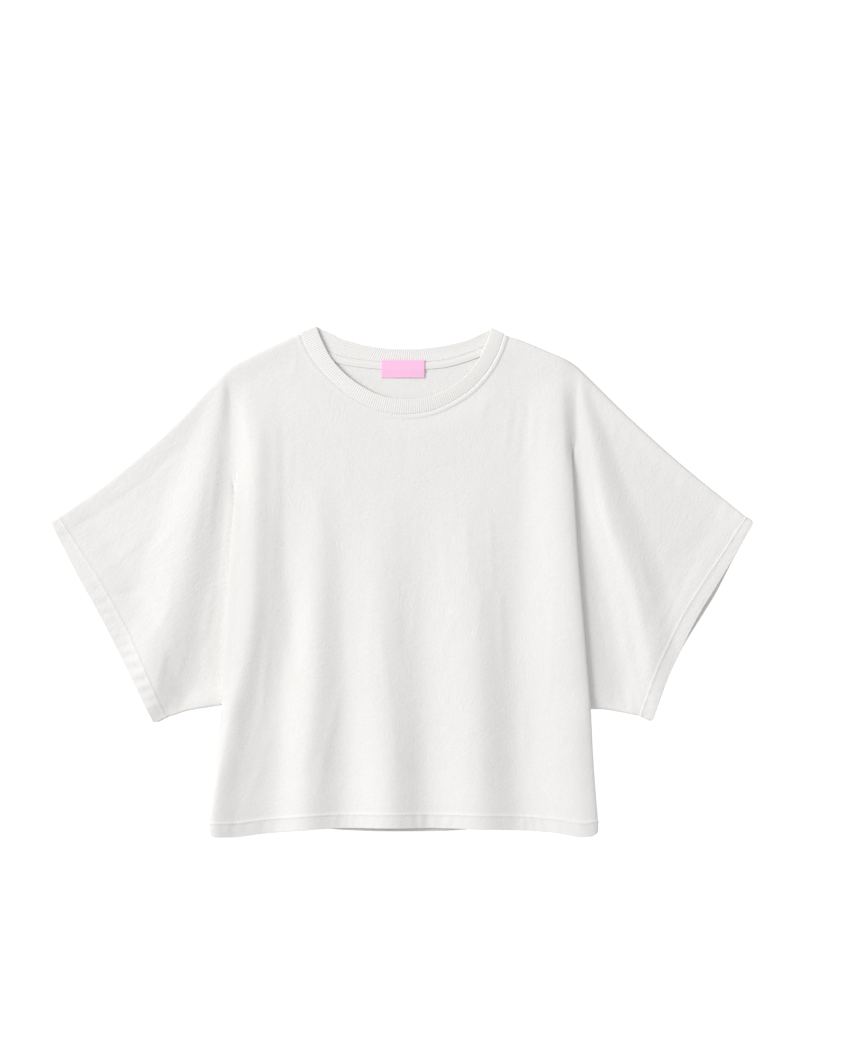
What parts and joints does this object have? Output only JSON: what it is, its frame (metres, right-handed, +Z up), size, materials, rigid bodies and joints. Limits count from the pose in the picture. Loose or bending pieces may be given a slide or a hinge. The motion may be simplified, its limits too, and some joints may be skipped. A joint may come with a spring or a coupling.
{
  "type": "t-shirt laid flat",
  "caption": "Wide short t-shirt of white jersey with batwing sleeves and a ribbed crew neck, laid flat with soft folds.",
  "frame": {"origin": "on the surface the shirt lies on, under the middle of its box", "axes": "+Z up off the surface, +Y towards the neck, +X towards the sleeve on the viewer's right"},
  "size_m": [0.7396, 0.5365, 0.0151],
  "materials": {
    "jersey": "matte cotton jersey",
    "rib": "matte cotton rib knit",
    "tape": "matte cotton tape",
    "label_satin": "soft woven satin"
  },
  "bodies": {
    "root": {"front_panel": "jersey", "back_panel": "jersey", "neck_rib": "rib", "neck_tape": "tape", "label": "label_satin"}
  },
  "joints": []
}
